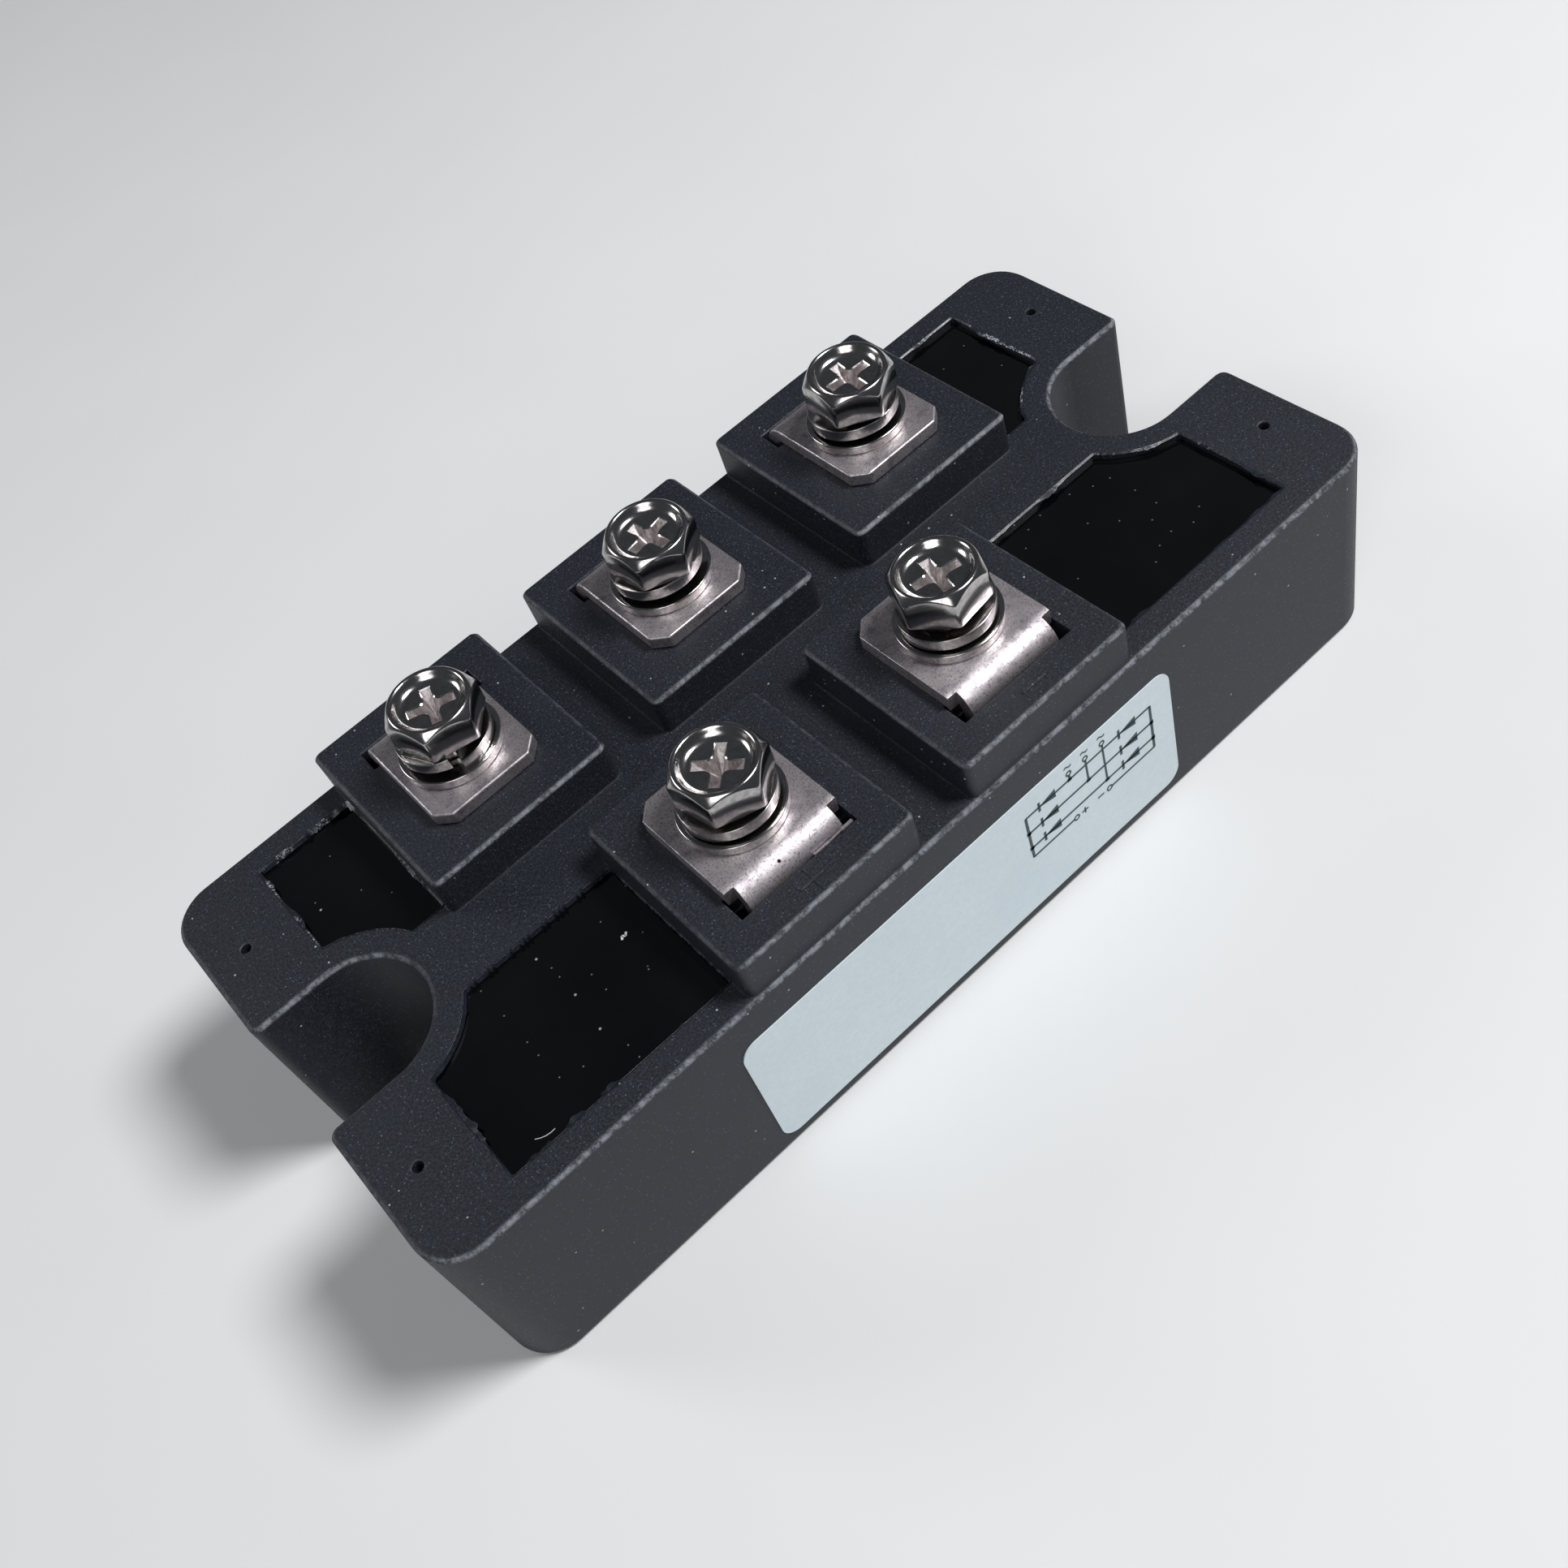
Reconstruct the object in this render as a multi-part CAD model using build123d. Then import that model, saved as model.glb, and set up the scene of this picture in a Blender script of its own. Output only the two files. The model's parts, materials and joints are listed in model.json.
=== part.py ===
from build123d import *

import math
import os

# Three-phase bridge rectifier module: a moulded case on a metal base plate, with five screw terminals.
# Millimetres. X runs along the length, -Y is the front with the label, +Y is the back with the three
# input terminals, Z is up. The origin is the middle of the underside of the base plate.

# Case
case_length = 110.0
case_width = 50.4
case_height = 22.2          # flat top of the case, above the floor
case_lift = 0.4             # the case ends this far above the underside of the base plate
case_corner_radius = 4.5
case_edge_chamfer = 0.35
side_wall = 3.1
end_wall = 9.2
roof_thickness = 2.6
pin_hole_radius = 0.55
pin_hole_depth = 1.5
pin_hole_inset_x = 4.1
pin_hole_inset_y = 9.8

# Notches for the heatsink screws, one in the middle of each end
notch_inset = 7.5           # from the end of the case to the axis of the heatsink screw
notch_width = 13.5
notch_wall = 2.85
notch_mouth_radius = 1.0

# Potting windows in the roof, beside the outer terminal blocks
back_window_setback = 1.6   # from the front edge of the input blocks
front_window_setback = 1.3  # from the back edge of the output blocks
window_corner_radius = 0.4

# Base plate
base_thickness = 3.0
base_inset = 1.0            # from the outside of the case to the edge of the plate
base_corner_radius = 3.5
base_slot_width = 6.5

# Terminal blocks: three inputs at the back, plus and minus at the front
terminal_pitch = 25.4
block_height = 4.4
block_width = 19.7
input_block_depth = 22.6
output_block_depth = 21.5
output_block_setback = 0.4
block_corner_radius = 0.8
block_edge_chamfer = 0.3
boss_floor = 1.0            # under the well for the end of each screw

# Potting
fill_drop = 0.7             # epoxy level below the top of the case
gel_level = 11.0

# Terminals, bent from one strip
tab_thickness = 1.5
input_tab_width = 11.6
output_tab_width = 12.4
output_neck_width = 10.4    # the bend of an output terminal is narrower than its tab
tab_reach = 6.6             # from the screw's axis to the free edge of the tab
leg_wall_gap = 1.0          # from the leg to the side wall of the case
neck_step = 1.9             # from the outer face of the leg to the step of the neck
bend_radius = 2.6           # outside of the bend at the top
foot_bend_radius = 2.0
foot_length = 5.0           # from the outer face of the leg
tab_corner_cut = 1.5
leg_slot_width = 12.8
leg_slot_clearance = 0.2
screw_inset = 12.1          # from the outside of the case to each screw's axis, along Y

# How each fastener happens to lie, in degrees: the head's corner, the recess and the washer's split
head_turns = {"input_1": 50, "input_2": 39, "input_3": 29, "plus": 41, "minus": 8}
cross_turns = {"input_1": 72, "input_2": 11, "input_3": 87, "plus": 43, "minus": 76}
split_turns = {"input_1": -100, "input_2": -15, "input_3": 60, "plus": -80, "minus": -60}

# Screws, washers and captive nuts
screw_diameter = 5.0
screw_length = 12.0
screw_tip_chamfer = 0.5
hex_width = 8.0
head_height = 3.5
head_rim_inset = 0.45       # from the flats of the head to its raised rim
head_rim_width = 0.5
head_dish_slope = 0.3
head_dish_depth = 0.5
head_chamfer_angle = 35.0
cross_width = 1.3
cross_length = 4.6
cross_depth = 1.7
cross_taper = 0.45
washer_clearance = 0.15      # round the screw, in both washers
plain_washer_radius = 5.0
plain_washer_thickness = 1.0
spring_washer_radius = 4.5
spring_washer_thickness = 1.2
spring_washer_rise = 0.95   # how far the free ends of the spring washer stand apart
spring_washer_split = 12.0  # degrees
nut_thickness = 4.0
nut_play = 0.1              # the nut lies this far below the tab
nut_bore_clearance = 0.05
nut_pocket_clearance = 0.15
screw_well_clearance = 0.4
screw_tip_room = 1.65       # under the end of the screw
tab_hole_clearance = 0.25

# Ceramic, copper tracks, dies and straps, under the gel
ceramic_clearance = 0.9     # from the walls of the case
ceramic_thickness = 0.8
track_thickness = 0.4
track_gap = 1.4
track_edge = 0.8            # bare ceramic left round the tracks
die_size = 8.0
die_thickness = 0.4
die_gap = 0.6               # between a die and the feet on its track
strap_width = 5.0
strap_thickness = 0.8
strap_bend_radius = 0.8
strap_foot = 2.0
strap_rise = 2.4
bar_rise = 3.2

# Label on the front wall
label_length = 51.8
label_height = 16.4
label_base = 1.5            # above the floor
label_thickness = 0.12
label_corner_radius = 1.8

# Heights and places worked out from the sizes above
roof_under = case_height - roof_thickness
block_top = case_height + block_height
fill_top = case_height - fill_drop
track_floor = base_thickness + ceramic_thickness
track_top = track_floor + track_thickness
die_top = track_top + die_thickness
tab_top = block_top + tab_thickness
washer_top = tab_top + plain_washer_thickness
head_under = washer_top + spring_washer_thickness + spring_washer_rise
well_floor = head_under - screw_length - screw_tip_room
boss_under = well_floor - boss_floor
screw_radius = screw_diameter / 2
washer_hole_radius = screw_radius + washer_clearance
head_rim_radius = hex_width / 2 - head_rim_inset
notch_radius = notch_width / 2
notch_centre = case_length / 2 - notch_inset
cavity_length = case_length - 2 * end_wall
cavity_depth = case_width - 2 * side_wall
screw_offset = case_width / 2 - screw_inset
leg_reach = cavity_depth / 2 - leg_wall_gap - screw_offset
leg_inner = leg_reach - tab_thickness
neck_reach = leg_reach - neck_step
ceramic_length = 2 * (notch_centre - notch_radius - notch_wall - ceramic_clearance)
ceramic_depth = cavity_depth - 2 * ceramic_clearance
input_x = [-terminal_pitch, 0.0, terminal_pitch]
output_x = [-terminal_pitch / 2, terminal_pitch / 2]
input_block_y = case_width / 2 - input_block_depth / 2
output_block_y = -case_width / 2 + output_block_setback + output_block_depth / 2
back_window_front = input_block_y - input_block_depth / 2 + back_window_setback
front_window_back = output_block_y + output_block_depth / 2 - front_window_setback

# Each terminal place: name, X, middle of its block along Y, depth of its block, side of the case
places = []
for number, x in enumerate(input_x, 1):
    places.append((f"input_{number}", x, input_block_y, input_block_depth, 1))
for name, x in zip(("plus", "minus"), output_x):
    places.append((name, x, output_block_y, output_block_depth, -1))


def rise(outline, low, high):
    """Upright solid on an outline, between two heights."""
    return Pos(0, 0, low) * extrude(outline, high - low)


def patch(x_low, x_high, y_low, y_high):
    """Rectangle in plan between four limits."""
    return Pos((x_low + x_high) / 2, (y_low + y_high) / 2) * Rectangle(x_high - x_low, y_high - y_low)


def both_ends(outline):
    return outline + mirror(outline, about=Plane.YZ)


def notches(radius):
    """Plan of the two U shapes that open through the ends."""
    run = case_length
    arch = Pos(notch_centre, 0) * Circle(radius)
    return both_ends(arch + patch(notch_centre, notch_centre + run, -radius, radius))


def case_plan():
    """Outline of the case, with the corners at the mouth of each notch rounded."""
    outline = RectangleRounded(case_length, case_width, case_corner_radius) - notches(notch_radius)
    mouths = [
        corner
        for corner in outline.vertices()
        if abs(abs(corner.X) - case_length / 2) < 0.01 and abs(abs(corner.Y) - notch_radius) < 0.01
    ]
    return fillet(mouths, notch_mouth_radius)


def cavity_plan():
    """Room inside the walls. A round wall stays behind each notch."""
    room = Rectangle(cavity_length, cavity_depth)
    return room - notches(notch_radius + notch_wall)


def window_plan():
    """Four openings in the roof, each from an end wall to the nearest terminal block."""
    edge = cavity_length / 2
    back = patch(input_x[-1] + block_width / 2, edge, back_window_front, cavity_depth / 2)
    front = patch(output_x[-1] + block_width / 2, edge, -cavity_depth / 2, front_window_back)
    openings = both_ends(back + front) & cavity_plan()
    corners = [point for point in openings.vertices() if abs(abs(point.X) - notch_centre) > 0.01]
    return fillet(corners, window_corner_radius)


def block_plan(x, y, depth, radius=0.0):
    outline = RectangleRounded(block_width, depth, radius) if radius else Rectangle(block_width, depth)
    return Pos(x, y) * outline


def case():
    shell = rise(case_plan(), case_lift, case_height)
    shell = chamfer(shell.edges().group_by(Axis.Z)[-1], case_edge_chamfer)
    for _, x, y, depth, _ in places:
        block = rise(block_plan(x, y, depth, block_corner_radius), roof_under, block_top)
        shell += chamfer(block.edges().group_by(Axis.Z)[-1], block_edge_chamfer)
    seat = RectangleRounded(
        case_length - 2 * base_inset, case_width - 2 * base_inset, base_corner_radius
    )
    shell -= rise(seat, 0, base_thickness)
    room = rise(cavity_plan(), base_thickness, roof_under)
    for _, x, y, depth, _ in places:
        room -= rise(block_plan(x, y, depth), boss_under, roof_under)
    shell -= room
    shell -= rise(window_plan(), roof_under, case_height)
    for _, x, _, _, side in places:
        shell -= leg_slot(x, side)
        shell -= screw_well(x, side)
    for x in (-1, 1):
        for y in (-1, 1):
            hole = Pos(
                x * (case_length / 2 - pin_hole_inset_x), y * (case_width / 2 - pin_hole_inset_y)
            ) * Circle(pin_hole_radius)
            shell -= rise(hole, case_height - pin_hole_depth, case_height)
    return shell


def leg_slot(x, side):
    """Slot through a block for the leg of its terminal, wider at the top to clear the bend."""
    half = leg_slot_width / 2
    outer = leg_reach + leg_slot_clearance
    slot = patch(-half, half, leg_inner - leg_slot_clearance, outer)
    relief = patch(-half, half, leg_reach - bend_radius, outer)
    relief_depth = bend_radius - tab_thickness + leg_slot_clearance
    cutter = rise(slot, boss_under, block_top) + rise(relief, block_top - relief_depth, block_top)
    return at_terminal(x, side) * cutter


def screw_well(x, side):
    """Hexagonal pocket for the nut, and a round well under it for the end of the screw."""
    pocket = RegularPolygon(hex_width / 2 + nut_pocket_clearance, 6, major_radius=False)
    well = rise(pocket, block_top - nut_thickness - nut_play, block_top)
    well += rise(Circle(screw_radius + screw_well_clearance), well_floor, block_top)
    return at_terminal(x, side) * well


def at_terminal(x, side):
    """Place of a terminal: its screw's axis at X 0, Y 0, and the leg towards the outside wall."""
    return Pos(x, side * screw_offset) * Rot(0, 0, 0 if side > 0 else 180)


def base_plate():
    outline = RectangleRounded(
        case_length - 2 * base_inset, case_width - 2 * base_inset, base_corner_radius
    )
    return rise(outline - notches(base_slot_width / 2), 0, base_thickness)


def terminal(width, neck):
    """Tab with its free corners cut off, a bend, a leg and a foot on the copper track."""
    middle = tab_thickness / 2
    line = FilletPolyline(
        (-tab_reach, block_top + middle),
        (leg_reach - middle, block_top + middle),
        (leg_reach - middle, track_top + middle),
        (leg_reach - foot_length, track_top + middle),
        radius=[bend_radius - middle, foot_bend_radius - middle],
    )
    body = extrude(Plane.YZ * trace(line, tab_thickness), width / 2, both=True)
    plan = patch(-width / 2, width / 2, -tab_reach, neck_reach)
    plan = chamfer(plan.vertices().group_by(Axis.Y)[0], tab_corner_cut)
    plan += patch(-neck / 2, neck / 2, 0, leg_reach)
    plan -= Circle(screw_radius + tab_hole_clearance)
    tab = body & rise(plan, block_top - bend_radius, tab_top)
    leg = body & rise(
        patch(-neck / 2, neck / 2, -tab_reach, leg_reach), track_top, block_top - bend_radius
    )
    return tab + leg


def hexagon(width, height):
    return extrude(RegularPolygon(width / 2, 6, major_radius=False), height)


def screw(cross_turn):
    """Hexagon head with a dished top and a cross recess, on a plain shank."""
    corner = hex_width / math.sqrt(3) + head_rim_width
    drop = (corner - head_rim_radius) * math.tan(math.radians(head_chamfer_angle))
    dish_radius = head_rim_radius - head_rim_width
    floor = head_height - head_dish_depth
    half_section = Polyline(
        (0, 0),
        (corner, 0),
        (corner, head_height - drop),
        (head_rim_radius, head_height),
        (dish_radius, head_height),
        (dish_radius - head_dish_slope, floor),
        (0, floor),
        close=True,
    )
    head = hexagon(hex_width, head_height) & revolve(Plane.XZ * make_face(half_section), Axis.Z)
    for turn in (cross_turn, cross_turn + 90):
        mouth = Pos(0, 0, floor) * Rectangle(cross_length, cross_width)
        bottom = Pos(0, 0, floor - cross_depth) * Rectangle(
            cross_length * cross_taper, cross_width * (1 - cross_taper / 2)
        )
        head -= Rot(0, 0, turn) * loft([mouth.face(), bottom.face()])
    shank = rise(Circle(screw_radius), -screw_length, 0)
    return head + chamfer(shank.edges().group_by(Axis.Z)[0], screw_tip_chamfer)


def plain_washer():
    return extrude(Circle(plain_washer_radius) - Circle(washer_hole_radius), plain_washer_thickness)


def spring_washer():
    """Split ring whose two ends stand apart by the washer's rise."""
    middle = (spring_washer_radius + washer_hole_radius) / 2
    turn = 360 - spring_washer_split
    path = Helix(spring_washer_rise * 360 / turn, spring_washer_rise, middle)
    across = spring_washer_radius - washer_hole_radius
    start = Plane(path @ 0, x_dir=(1, 0, 0), z_dir=path % 0)
    section = start * Rectangle(across, spring_washer_thickness)
    return Pos(0, 0, spring_washer_thickness / 2) * sweep(section, path=path, is_frenet=True)


def nut():
    return hexagon(hex_width, nut_thickness) - rise(
        Circle(screw_radius + nut_bore_clearance), 0, nut_thickness
    )


def track(outline):
    return rise(outline, track_floor, track_top)


def strap():
    """Jumper in YZ from a plus die, over the gap, to the front of an input track."""
    middle = strap_thickness / 2
    start = plus_die_y + strap_foot / 2
    end = input_track_front + middle + track_edge / 2
    top = die_top + strap_rise
    line = FilletPolyline(
        (plus_die_y - strap_foot, die_top + middle),
        (start, die_top + middle),
        (start, top),
        (end, top),
        (end, track_top + middle),
        (end + strap_foot, track_top + middle),
        radius=strap_bend_radius,
    )
    return extrude(Plane.YZ * trace(line, strap_thickness), strap_width / 2, both=True)


def minus_bar():
    """Bar with a foot on each of the three minus dies, and a bent arm over to the minus track."""
    middle = strap_thickness / 2
    top = die_top + bar_rise
    half_foot = strap_width / 2
    bar = rise(patch(input_x[0] - half_foot, input_x[-1] + half_foot, -half_foot, half_foot),
               top - middle, top + middle)
    for x in input_x:
        bar += rise(patch(x - half_foot, x + half_foot, -half_foot, half_foot), die_top, top)
    landing = minus_track_back - track_edge - middle
    arm_line = FilletPolyline(
        (half_foot, top),
        (landing - input_die_y, top),
        (landing - input_die_y, track_top + middle),
        (landing - input_die_y - strap_foot - strap_thickness, track_top + middle),
        radius=strap_bend_radius,
    )
    arm = extrude(Plane.YZ * trace(arm_line, strap_thickness), strap_width / 2, both=True)
    return Pos(0, input_die_y, 0) * (bar + Pos(output_x[-1], 0, 0) * arm)


def label():
    outline = Plane.XZ * RectangleRounded(label_length, label_height, label_corner_radius)
    return Pos(0, -case_width / 2, label_base + label_height / 2) * extrude(outline, label_thickness)


# Tracks on the ceramic: the inputs at the back, the plus track along the middle, the minus track in
# front. Each row of dies and feet starts from the free edges of the terminals' feet, and the plus track
# has the room that is left between them.
track_end = ceramic_length / 2 - track_edge
track_side = ceramic_depth / 2 - track_edge
landing_depth = strap_foot + strap_thickness / 2 + track_edge / 2
foot_front = screw_offset + leg_reach - foot_length
input_die_y = foot_front - die_gap - die_size / 2
input_track_front = input_die_y - die_size / 2 - die_gap - landing_depth
minus_track_back = strap_foot + strap_thickness * 3 / 2 + track_edge + die_gap - foot_front
plus_track_back = input_track_front - track_gap
plus_track_front = minus_track_back + track_gap
plus_die_y = (plus_track_back + plus_track_front) / 2

parts = {}
parts["case"] = case()
parts["base_plate"] = base_plate()
parts["ceramic"] = rise(Rectangle(ceramic_length, ceramic_depth), base_thickness, track_floor)
parts["plus_track"] = track(
    patch(-track_end, track_end, plus_track_front, plus_track_back)
    + patch(-track_end, -track_gap / 2, -track_side, plus_track_front)
)
parts["minus_track"] = track(patch(track_gap / 2, track_end, -track_side, minus_track_back))
inner_edges = [x + side * track_gap / 2 for x in output_x for side in (-1, 1)]
track_limits = [-track_end, *inner_edges, track_end]
for number, x in enumerate(input_x, 1):
    left, right = track_limits[2 * number - 2:2 * number]
    parts[f"input_track_{number}"] = track(patch(left, right, input_track_front, track_side))
    die = rise(Rectangle(die_size, die_size), track_top, die_top)
    parts[f"plus_die_{number}"] = Pos(x, plus_die_y, 0) * die
    parts[f"minus_die_{number}"] = Pos(x, input_die_y, 0) * die
    parts[f"strap_{number}"] = Pos(x, 0, 0) * strap()
parts["minus_bar"] = minus_bar()
under_gel = [solid for name, solid in parts.items() if name not in ("case", "base_plate")]

input_terminal = terminal(input_tab_width, input_tab_width)
output_terminal = terminal(output_tab_width, output_neck_width)
for name, x, _, _, side in places:
    place = at_terminal(x, side)
    parts[f"{name}_terminal"] = place * (input_terminal if side > 0 else output_terminal)
    parts[f"{name}_nut"] = place * Pos(0, 0, block_top - nut_thickness - nut_play) * nut()
    parts[f"{name}_washer"] = place * Pos(0, 0, tab_top) * plain_washer()
    split = Rot(0, 0, split_turns[name])
    parts[f"{name}_spring_washer"] = place * Pos(0, 0, washer_top) * split * spring_washer()
    turned = screw(cross_turns[name] - head_turns[name])
    parts[f"{name}_screw"] = place * Pos(0, 0, head_under) * Rot(0, 0, head_turns[name]) * turned

# Potting: gel over the dies, then epoxy up to the windows
gel = rise(cavity_plan(), base_thickness, gel_level)
epoxy = rise(cavity_plan(), gel_level, roof_under) + rise(window_plan(), roof_under, fill_top)
for name, x, y, depth, _ in places:
    epoxy -= rise(block_plan(x, y, depth), boss_under, roof_under)
    gel -= parts[f"{name}_terminal"]
    epoxy -= parts[f"{name}_terminal"]
for solid in under_gel:
    gel -= solid
parts["gel"] = gel
parts["epoxy"] = epoxy
parts["label"] = label()

os.makedirs("parts", exist_ok=True)
for name, solid in parts.items():
    export_step(solid, f"parts/{name}.step")
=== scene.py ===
import bpy
import bmesh
import json
import math
from mathutils import Matrix, Quaternion, Vector, noise


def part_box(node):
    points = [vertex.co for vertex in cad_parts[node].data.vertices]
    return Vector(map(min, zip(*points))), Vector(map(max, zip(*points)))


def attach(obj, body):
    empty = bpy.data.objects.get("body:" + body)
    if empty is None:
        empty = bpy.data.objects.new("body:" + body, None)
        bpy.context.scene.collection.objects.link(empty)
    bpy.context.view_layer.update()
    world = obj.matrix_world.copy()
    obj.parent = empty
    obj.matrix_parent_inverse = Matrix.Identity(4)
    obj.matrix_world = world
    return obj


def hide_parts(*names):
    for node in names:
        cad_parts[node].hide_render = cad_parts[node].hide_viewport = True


# Three-phase bridge rectifier module: black moulded case, five plated screw terminals, potting windows.
# Metres, in the frame's axes: X along the length, -Y is the label side, Z is up. Settings are in millimetres.

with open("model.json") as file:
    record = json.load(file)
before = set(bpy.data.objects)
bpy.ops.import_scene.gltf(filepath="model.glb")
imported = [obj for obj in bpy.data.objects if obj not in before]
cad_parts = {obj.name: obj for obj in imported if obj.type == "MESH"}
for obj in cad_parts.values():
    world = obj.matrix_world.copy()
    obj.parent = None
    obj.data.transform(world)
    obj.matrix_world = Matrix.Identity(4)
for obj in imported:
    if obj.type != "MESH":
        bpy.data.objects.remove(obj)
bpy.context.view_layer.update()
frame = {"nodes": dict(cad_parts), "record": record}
nodes = frame["nodes"]
mm = 0.001
terminalNames = ["input_1", "input_2", "input_3", "plus", "minus"]
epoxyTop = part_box("epoxy")[1][2]
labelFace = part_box("label")[0][1]
print("frame loaded,", len(nodes), "nodes")


# Small helpers

def linearColour(hexText):
    # sRGB hex to linear values with alpha
    channels = [int(hexText[i:i + 2], 16) / 255 for i in (1, 3, 5)]
    linear = [c / 12.92 if c <= 0.04045 else ((c + 0.055) / 1.055) ** 2.4 for c in channels]
    return (*linear, 1.0)


def inputOf(node, key):
    # a node's input by its number, or the first one in use that has the name
    if isinstance(key, int):
        return node.inputs[key]
    return next((socket for socket in node.inputs if socket.enabled and socket.name == key), None)


def connect(tree, node, links):
    # links: input to the socket that feeds it, or to a node, whose first output in use then feeds it
    for key, source in links.items():
        if isinstance(source, bpy.types.Node):
            source = next(socket for socket in source.outputs if socket.enabled)
        tree.links.new(source, inputOf(node, key))


def addNode(tree, kind, settings=None, links=None):
    # settings: attribute or input to its value, and for a colour ramp its stops: position and hex colour
    node = tree.nodes.new("ShaderNode" + kind)
    for key, value in (settings or {}).items():
        if key == "stops":
            elements = node.color_ramp.elements
            while len(elements) < len(value):
                elements.new(0.5)
            for element, (position, hexText) in zip(elements, value):
                element.position = position
                element.color = linearColour(hexText)
        elif inputOf(node, key) is None:
            setattr(node, key, value)
        else:
            inputOf(node, key).default_value = linearColour(value) if isinstance(value, str) else value
    connect(tree, node, links or {})
    return node


def newMaterial(name, settings):
    material = bpy.data.materials.new(name)
    material.use_nodes = True
    tree = material.node_tree
    shader = tree.nodes["Principled BSDF"]
    for key, value in settings.items():
        shader.inputs[key].default_value = value
    place = addNode(tree, "TexCoord").outputs["Object"]
    return material, tree, shader, place


def speckle(tree, place, spacing, size, chance, dimensions="3D"):
    # scattered round spots: spacing and size in millimetres, chance from 0 to 1
    cells = addNode(tree, "TexVoronoi", {"voronoi_dimensions": dimensions, "Scale": 1 / (spacing * mm)},
                    {"Vector": place})
    share = size / spacing
    near = addNode(tree, "MapRange", {"From Min": share * 0.6, "From Max": share * 0.4}, {"Value": cells})
    lot = addNode(tree, "SeparateColor", links={"Color": cells.outputs["Color"]})
    # a spot only where the cell's own random number is low enough
    return addNode(tree, "MapRange", {"From Min": chance + 0.01, "From Max": chance},
                   {"Value": lot, "To Max": near})


# Materials

def mouldedCase():
    # Glass-filled polyester moulding compound, pressed in a spark-eroded tool: blue-black with a fine
    # even grain, pale glass flecks, and edges rubbed lighter, partly wear and partly a painted highlight
    material, tree, shader, place = newMaterial("moulded glass-filled polyester",
                                                {"Roughness": 0.5, "IOR": 1.5})
    grain = addNode(tree, "TexNoise", {"Scale": 1 / (0.22 * mm), "Detail": 3.0, "Roughness": 0.75},
                    {"Vector": place})
    clouds = addNode(tree, "TexNoise", {"Scale": 1 / (7 * mm), "Detail": 5.0}, {"Vector": place})
    broken = addNode(tree, "TexNoise", {"Scale": 1 / (0.9 * mm), "Detail": 6.0, "Roughness": 0.8},
                     {"Vector": place})
    shade = addNode(tree, "MapRange", {"From Min": 0.3, "From Max": 0.7, "To Max": 0.3}, {"Value": clouds})

    # the rubbed edges, partly wear and partly a painted highlight: a thin light line along the middle of
    # each top edge, and a fainter one where a rounded normal leaves the true one
    rounded = addNode(tree, "Bevel", {"samples": 4, "Radius": 0.3 * mm})
    trueNormal = addNode(tree, "NewGeometry").outputs["Normal"]
    turned = addNode(tree, "VectorMath", {"operation": "DOT_PRODUCT"}, {0: rounded, 1: trueNormal})
    border = addNode(tree, "MapRange", {"From Min": 0.985, "From Max": 0.93, "To Max": 0.3},
                     {"Value": turned})
    upward = addNode(tree, "SeparateXYZ", links={"Vector": rounded}).outputs["Z"]
    rise = addNode(tree, "MapRange", {"From Min": 0.6, "From Max": 0.69, "To Max": 0.6}, {"Value": upward})
    crest = addNode(tree, "MapRange", {"From Min": 0.84, "From Max": 0.73}, {"Value": upward, "To Max": rise})
    edge = addNode(tree, "Math", {"operation": "MAXIMUM"}, {0: border, 1: crest})
    # none in the inner corners, only in broken lengths, and most where the edge faces the front lamps,
    # as painted highlight
    hollow = addNode(tree, "AmbientOcclusion", {"samples": 4, "Distance": 0.3 * mm}).outputs["AO"]
    frontHighlight = addNode(tree, "VectorMath", {"operation": "DOT_PRODUCT", 1: (0, -1, 0)}, {0: rounded})
    wearAndHighlight = [(hollow, 0.75, 0.95, 0.0), (broken, 0.42, 0.58, 0.1), (frontHighlight, 0.1, 0.5, 0.3)]
    for value, low, high, least in wearAndHighlight:
        share = addNode(tree, "MapRange", {"From Min": low, "From Max": high, "To Min": least},
                        {"Value": value})
        edge = addNode(tree, "Math", {"operation": "MULTIPLY"}, {0: edge, 1: share})

    colour = addNode(tree, "ValToRGB", {"stops": [(0.34, "#06080c"), (0.5, "#11151d"), (0.66, "#262c3a")]},
                     {"Fac": grain})
    # the last layer is the light edge line: rubbed wear together with painted highlight
    layers = [(shade, "#191e28"), (speckle(tree, place, 0.3, 0.12, 0.3), "#4b505c"),
              (speckle(tree, place, 1.4, 0.2, 0.22), "#9a9ea6"), (edge, "#989da5")]
    for share, hexText in layers:
        colour = addNode(tree, "Mix", {"data_type": "RGBA", "B": hexText}, {"Factor": share, "A": colour})
    dull = addNode(tree, "MapRange", {"From Min": 0.3, "From Max": 0.7, "To Min": 0.44, "To Max": 0.64},
                   {"Value": grain})
    bump = addNode(tree, "Bump", {"Strength": 0.4, "Distance": 0.05 * mm},
                   {"Height": grain, "Normal": rounded})
    connect(tree, shader, {"Base Color": colour, "Roughness": dull, "Normal": bump})
    return material


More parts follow.
